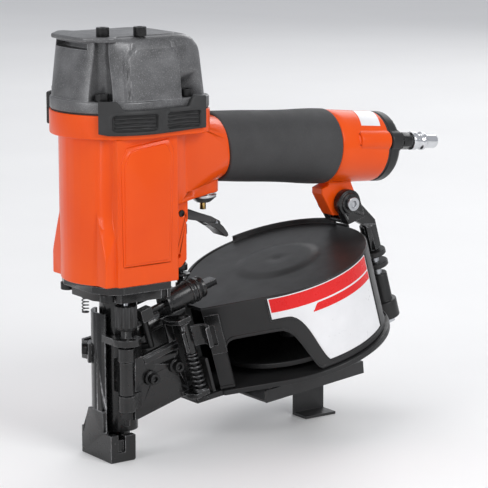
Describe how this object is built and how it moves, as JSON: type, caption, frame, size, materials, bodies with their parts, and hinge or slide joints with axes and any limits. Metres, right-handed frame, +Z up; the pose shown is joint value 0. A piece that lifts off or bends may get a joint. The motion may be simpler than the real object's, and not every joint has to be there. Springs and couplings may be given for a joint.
{
  "type": "pneumatic coil nailer",
  "caption": "Air-powered coil nailer with round drum magazine, hinged nail door, depth dial, shingle guide and rubber-gripped handle.",
  "frame": {"origin": "on the drive axis, in the plane of the work that the contact foot and the guide's foot stand on", "axes": "+X to the rear along the handle, +Z up along the drive axis, -Y the side with the nail door"},
  "size_m": [0.2709, 0.1212, 0.2623],
  "materials": {
    "orange_paint": "gloss",
    "cast_grey": "textured matte",
    "black_rubber": "matte",
    "grip_rubber": "fine texture",
    "bumper_rubber": "matte",
    "black_screw": "black oxide",
    "black_steel": "black oxide satin",
    "spring_steel": "satin",
    "bright_steel": "satin",
    "chrome": "polished",
    "dark_fitting": "satin",
    "piston_alloy": "machined",
    "brass": "turned",
    "black_plastic": "moulded",
    "dial_plastic": "moulded",
    "trigger_plastic": "satin",
    "channel_paint": "satin powder coat"
  },
  "bodies": {
    "root": {"body_housing": "orange_paint", "exhaust_cap": "cast_grey", "exhaust_plate": "cast_grey", "cap_gasket": "black_rubber", "cap_bolts": "black_screw", "plate_bolts": "black_screw", "guard_left": "black_rubber", "guard_right": "black_rubber", "cylinder_sleeve": "bright_steel", "sleeve_seals": "black_rubber", "piston_bumper": "bumper_rubber", "head_valve_spring": "spring_steel", "handle_grip": "grip_rubber", "handle_end_cap": "black_plastic", "end_cap_seal": "black_rubber", "end_cap_screws": "black_screw", "plug_adapter": "dark_fitting", "air_plug": "chrome", "trigger_pin": "bright_steel", "valve_body": "piston_alloy", "valve_spring": "spring_steel", "rod_guide": "black_plastic", "nose_body": "black_steel", "nose_gasket": "black_rubber", "nose_bolts": "black_screw", "arm_spring": "spring_steel", "front_spring": "spring_steel", "feed_cylinder": "black_steel", "feed_cap": "black_steel", "feed_spring": "spring_steel", "door_hinge_pin": "black_screw", "magazine_base": "black_plastic", "magazine_hinge_pin": "bright_steel", "hanger_arm": "black_steel", "hanger_screw": "bright_steel", "guide_channel": "channel_paint"},
    "driver": {"driver_piston": "piston_alloy", "piston_ring": "black_rubber", "driver_blade": "bright_steel"},
    "head_valve": {"head_valve": "black_rubber"},
    "trigger": {"trigger": "trigger_plastic", "trip_pin": "bright_steel"},
    "trip_lever": {"trip_lever": "black_steel"},
    "valve_plunger": {"valve_plunger": "brass"},
    "contact_arm": {"contact_foot": "black_steel", "arm_rod": "black_steel", "arm_clamp": "black_screw"},
    "depth_dial": {"depth_dial": "dial_plastic"},
    "depth_stop": {"depth_stop": "bright_steel"},
    "feed_piston": {"feed_piston": "black_steel"},
    "feed_pawl": {"feed_pawl": "bright_steel"},
    "nail_door": {"nail_door": "black_steel", "door_screws": "black_screw", "latch_pin": "black_screw", "latch_spring": "spring_steel"},
    "door_latch": {"door_latch": "black_steel"},
    "magazine_cover": {"magazine_cover": "black_plastic", "cover_strike": "bright_steel"},
    "nail_tray": {"nail_tray": "black_plastic"},
    "shingle_guide": {"shingle_guide": "channel_paint"}
  },
  "joints": [
    {"name": "driver_slide", "type": "slide", "parent": "root", "child": "driver", "axis": [0, 0, -1], "range_m": [0, 0.062]},
    {"name": "head_valve_slide", "type": "slide", "parent": "root", "child": "head_valve", "axis": [0, 0, 1], "range_m": [0, 0.003], "stiffness_N_per_m": 2000, "springref_m": -0.008, "deforming": ["head_valve_spring"]},
    {"name": "trigger_pivot", "type": "hinge", "parent": "root", "child": "trigger", "pos_m": [0.0366, 0, 0.147], "axis": [0, -1, 0], "range_deg": [0, 10], "stiffness_Nm_per_rad": 0.3, "springref_deg": -17.19},
    {"name": "trip_lever_pivot", "type": "hinge", "parent": "trigger", "child": "trip_lever", "pos_m": [0.068, 0, 0.137], "axis": [0, 1, 0], "range_deg": [0, 6], "stiffness_Nm_per_rad": 0.05, "springref_deg": -11.46},
    {"name": "valve_plunger_slide", "type": "slide", "parent": "root", "child": "valve_plunger", "axis": [0, 0, 1], "range_m": [0, 0.003], "stiffness_N_per_m": 20, "springref_m": -0.004, "deforming": ["valve_spring"]},
    {"name": "contact_arm_slide", "type": "slide", "parent": "root", "child": "contact_arm", "axis": [0, 0, 1], "range_m": [0, 0.009], "stiffness_N_per_m": 600, "springref_m": -0.05, "deforming": ["arm_spring", "front_spring"]},
    {"name": "depth_dial_turn", "type": "hinge", "parent": "contact_arm", "child": "depth_dial", "pos_m": [-0.007, -0.02, 0.0895], "axis": [0, 0, 1], "range_deg": [-540, 540]},
    {"name": "depth_stop_slide", "type": "slide", "parent": "contact_arm", "child": "depth_stop", "axis": [0, 0, 1], "range_m": [-0.0012, 0.0012]},
    {"name": "feed_piston_slide", "type": "slide", "parent": "root", "child": "feed_piston", "axis": [0.9613, 0, 0.2756], "range_m": [0, 0.009], "stiffness_N_per_m": 400, "springref_m": -0.015, "deforming": ["feed_spring"]},
    {"name": "feed_pawl_pivot", "type": "hinge", "parent": "feed_piston", "child": "feed_pawl", "pos_m": [0.01377, -0.0104, 0.07677], "axis": [0.2756, 0, -0.9613], "range_deg": [0, 12], "stiffness_Nm_per_rad": 0.02, "springref_deg": -17.19},
    {"name": "nail_door_hinge", "type": "hinge", "parent": "root", "child": "nail_door", "pos_m": [-0.007, -0.02, 0.05], "axis": [0, 0, -1], "range_deg": [0, 100]},
    {"name": "door_latch_pivot", "type": "hinge", "parent": "nail_door", "child": "door_latch", "pos_m": [0.0362, -0.025, 0.0624], "axis": [0.2756, 0, -0.9613], "range_deg": [0, 35], "stiffness_Nm_per_rad": 0.2, "springref_deg": -17.19, "deforming": ["latch_spring"]},
    {"name": "magazine_cover_hinge", "type": "hinge", "parent": "root", "child": "magazine_cover", "pos_m": [0.19221, -0.006, 0.09881], "axis": [-0.2756, 0, 0.9613], "range_deg": [0, 100]},
    {"name": "nail_tray_slide", "type": "slide", "parent": "root", "child": "nail_tray", "axis": [-0.2756, 0, 0.9613], "range_m": [0, 0.012]},
    {"name": "shingle_guide_slide", "type": "slide", "parent": "root", "child": "shingle_guide", "axis": [0.9945, 0, 0.1045], "range_m": [-0.011, 0.011]}
  ],
  "couplings": [
    {"joint": "valve_plunger_slide", "follows": "trigger_pivot", "m_per_rad": 0.0171},
    {"joint": "depth_stop_slide", "follows": "depth_dial_turn", "m_per_rad": 0.000127}
  ]
}
